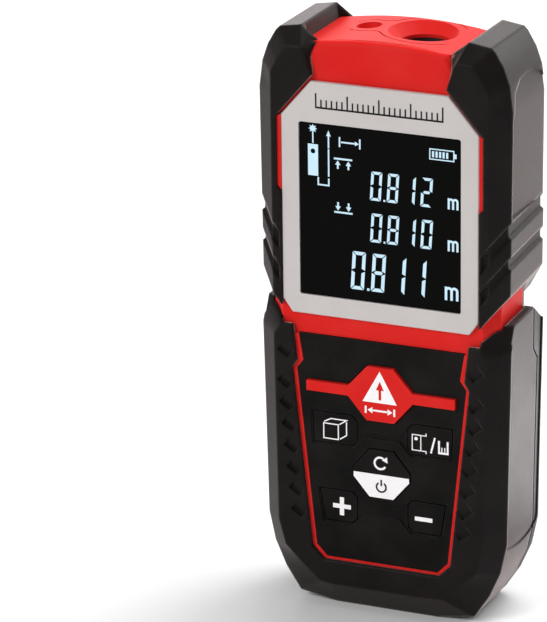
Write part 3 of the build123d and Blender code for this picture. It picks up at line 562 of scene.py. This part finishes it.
def number(text, left, bottom, width, height, thick, pitch):
    """Row of digits; a dot sits after its digit."""
    shapes = []
    x = left
    for sign in text:
        if sign == ".":
            dot = DOT_SHARE * thick
            dot_right = x - DOT_GAP - DIGIT_SLANT * height / 2
            shapes.append(box_shape((dot_right - dot, dot_right), (bottom, bottom + dot)))
            continue
        shapes += moved(digit_bars(DIGIT_BARS[sign], width, height, thick), x, bottom)
        x += pitch
    return shapes


def metre_sign(left, bottom, width, height, thick):
    """Small m of three stems and two round tops, as the unit after a reading."""
    radius = (width - thick) / 4
    stem = thick / 2
    shapes = [stroke([(left + stem, bottom), (left + stem, bottom + height)], thick)]
    for hump in range(2):
        centre = (left + stem + radius * (1 + 2 * hump), bottom + height - radius - thick / 2)
        line = arc(centre, radius, 150, 0, 12) + [(centre[0] + radius, bottom)]
        shapes.append(stroke(line, thick))
    return shapes


def battery_symbol(x, z, width, height):
    """Battery outline with five charge bars."""
    line, bar_width, bar_pitch = 0.22, 0.42, 0.72
    shapes = [stroke([(x, z), (x + width, z), (x + width, z + height), (x, z + height)], line,
                     True),
              box_shape((x + width + line / 2, x + width + 0.55), (z + 0.55, z + height - 0.55))]
    for bar in range(5):
        start = x + 0.45 + bar_pitch * bar
        shapes.append(box_shape((start, start + bar_width), (z + 0.4, z + height - 0.4)))
    return shapes


def device_symbol(x, z):
    """Meter seen from the front, its beam, and the line that its length is taken from."""
    width, height, line = 2.1, 6.3, 0.3
    middle, top = x + width / 2, z + height
    star_z = top + 3.1
    shapes = [box_shape((x, x + width), (z, top)) + disc((middle, top - 1.4), 0.5),
              box_shape((middle - 0.13, middle + 0.13), (top + 0.2, star_z - 0.7)),
              star((middle, star_z), 0.9, 0.5, 8)]
    side, rail, foot = x + width, x + width + 2.2, z - 1.7
    shapes.append(stroke([(side, z - 0.2), (side, foot), (rail, foot), (rail, z - 0.3)], line))
    shapes.append(stroke([(rail, z + 0.1), (rail, z + 5.6)], line))
    shapes.append(stroke([(rail, z + 5.8), (rail, top + 2.2)], line))
    shapes.append(arrow_head((rail, top + 3.05), (0, 1), 1.15, 0.95))
    return shapes


def span_symbol(x, z, width, height, line):
    """Arrow between two end marks, for a length."""
    end = x + width
    return [stroke([(x, z - height / 2), (x, z + height / 2)], line),
            stroke([(end, z - height / 2), (end, z + height / 2)], line),
            stroke([(x + 0.3, z), (end - 0.9, z)], line),
            arrow_head((end - 0.2, z), (1, 0), 0.8, 0.9)]


def limit_symbol(x, z, upward):
    """Arrow against a bar, for the largest or the smallest reading so far."""
    way = 1 if upward else -1
    width, line, inset = 3.8, 0.35, 0.8
    bar_z = z + way * 0.95
    shapes = [box_shape((x, x + width), sorted((bar_z, bar_z + way * line)))]
    for column in (x + inset, x + width - inset):
        shapes.append(arrow_head((column, z + way * 0.8), (0, way), 0.9, 1.1))
        shapes.append(stroke([(column, z - way * 0.9), (column, z - way * 0.1)], line))
    return shapes


# Width, height, bar thickness and pitch of the digits
LARGE_DIGITS = (2.75, 7.7, 0.68, 4.2)
SMALL_DIGITS = (2.25, 5.8, 0.54, 3.47)


def make_display(materials):
    """The lit reading behind the display window: three numbers and their symbols."""
    lit = ("display_window", HOUSING, "display_segment", materials)
    printed("reading_large", number("0.811", -5.95, 67.0, *LARGE_DIGITS), *lit)
    printed("reading_upper", number("0.812", -1.9, 85.4, *SMALL_DIGITS), *lit)
    printed("reading_middle", number("0.810", -1.9, 77.0, *SMALL_DIGITS), *lit)
    printed("unit_large", metre_sign(13.35, 67.2, 2.8, 2.7, 0.5), *lit)
    printed("unit_upper", metre_sign(13.95, 85.5, 2.2, 2.2, 0.42), *lit)
    printed("unit_middle", metre_sign(13.95, 77.1, 2.2, 2.2, 0.42), *lit)
    printed("charge_symbol", battery_symbol(10.3, 95.1, 4.9, 2.0), *lit)
    printed("device_symbol", device_symbol(-14.9, 89.0), *lit)
    printed("length_symbol", span_symbol(-8.3, 96.3, 4.2, 2.0, 0.3), *lit)
    printed("largest_symbol", limit_symbol(-9.5, 91.8, True), *lit)
    printed("smallest_symbol", limit_symbol(-9.5, 83.3, False), *lit)


# ---------------------------------------------------------------- key legends
def cube_shapes(x, z):
    """Wire cube, its open face at a lower left corner."""
    side, back_x, back_z, line = 3.1, 1.75, 1.1, 0.23
    front = [(x, z), (x + side, z), (x + side, z + side), (x, z + side)]
    top = [(x + 0.1, z + side + 0.32), (x + back_x - 0.2, z + side + back_z),
           (x + side + back_x, z + side + back_z), (x + side + 0.25, z + side + 0.1)]
    right = [(x + side + back_x, z + side + back_z - 0.35), (x + side + back_x, z + back_z),
             (x + side + 0.35, z + 0.15)]
    return [stroke(front, line, True), stroke(top, line), stroke(right, line)]


def reference_shapes(x, z):
    """Meter outline with its two reference ends, a slash and a graduated bar."""
    line = 0.2
    shapes = [stroke([(x, z), (x + 1.8, z), (x + 1.8, z + 3.2), (x, z + 3.2)], line, True),
              disc((x + 0.8, z + 2.4), 0.36),
              stroke([(x + 1.95, z + 3.2), (x + 2.9, z + 3.2), (x + 2.9, z + 3.75)], line),
              stroke([(x + 1.95, z), (x + 2.9, z), (x + 2.9, z - 0.5)], line),
              stroke([(x + 3.9, z - 0.2), (x + 4.75, z + 3.1)], 0.36),
              stroke([(x + 5.6, z + 2.6), (x + 5.6, z + 0.1), (x + 7.4, z + 0.1),
                      (x + 7.4, z + 2.6)], 0.4)]
    for tick in range(2):
        centre = x + 6.2 + 0.6 * tick
        shapes.append(stroke([(centre, z + 0.3), (centre, z + 1.3)], 0.22))
    return shapes


def measure_shapes(z):
    """Two-headed arrow between two end marks, for one measurement."""
    shapes = [stroke([(-1.7, z), (1.7, z)], 0.38)]
    for way in (-1, 1):
        shapes.append(stroke([(3.0 * way, z - 0.75), (3.0 * way, z + 0.75)], 0.4))
        shapes.append(arrow_head((2.6 * way, z), (way, 0), 1.0, 1.3))
    return shapes


def key_shapes():
    """White legends: piece name, key that carries it and shapes."""
    triangle = [(-3.65, 44.4), (3.55, 44.4), (-0.05, 50.9)]
    beam = [(-0.28, 45.0), (0.28, 45.0), (0.28, 47.0), (0.85, 47.0), (0, 48.9), (-0.85, 47.0),
            (-0.28, 47.0)]
    ring = stroke(arc((-0.2, 31.7), 1.2, 55, 330, 26), 0.42)
    return [
        ("measure_symbol", "measure_key", [[triangle, beam]]),
        ("measure_legend", "measure_key", measure_shapes(42.75)),
        ("function_legend", "function_key", cube_shapes(-12.4, 35.15)),
        ("reference_legend", "reference_key", reference_shapes(6.3, 35.3)),
        ("clear_legend", "clear_key", [ring, arrow_head((1.35, 31.9), (0.75, -1.0), 1.1, 1.3)]),
        ("plus_legend", "plus_key", [cross((-8.65, 21.25), 1.9, 0.45)]),
        ("minus_legend", "minus_key", [box_shape((6.8, 10.5), (20.6, 21.45))]),
    ]


def make_legends(materials):
    """Prints on the keys, each on its own key's body."""
    for name, key, shapes in key_shapes():
        printed(name, shapes, key, key, "white_print", materials)
    half = [[(-2.5, 24.45), (2.5, 24.45), (5.85, 28.35), (5.85, 29.3), (-5.85, 29.3),
             (-5.85, 28.35)]]
    printed("clear_key_half", [half], "clear_key", "clear_key", "white_print", materials)
    # The power sign is printed over the white half, so it stands prouder
    power = [stroke(arc((0, 26.75), 1.0, 125, 415, 28), 0.34),
             stroke([(0, 27.0), (0, 28.3)], 0.34)]
    printed("power_legend", power, "clear_key", "clear_key", "keypad_rubber", materials,
            proud=0.08, sunk=-0.02)


def make_scale(materials):
    """Plain graduated line on the bezel above the display."""
    half_length, half_line, foot = 13.2, 0.15, 102.6
    steps, long_tick, short_tick = 24, 2.7, 1.5
    shapes = [box_shape((-half_length, half_length), (foot, foot + 0.35))]
    for step in range(steps + 1):
        x = (half_length - half_line) * (2 * step / steps - 1)
        tall = short_tick if step % 6 else long_tick
        shapes.append(box_shape((x - half_line, x + half_line), (foot + 0.3, foot + 0.3 + tall)))
    printed("bezel_scale", shapes, "display_bezel", HOUSING, "keypad_rubber", materials)


make_camera()
make_studio()
finishes = make_materials()
dress_nodes(finishes)
make_display(finishes)
make_legends(finishes)
make_scale(finishes)
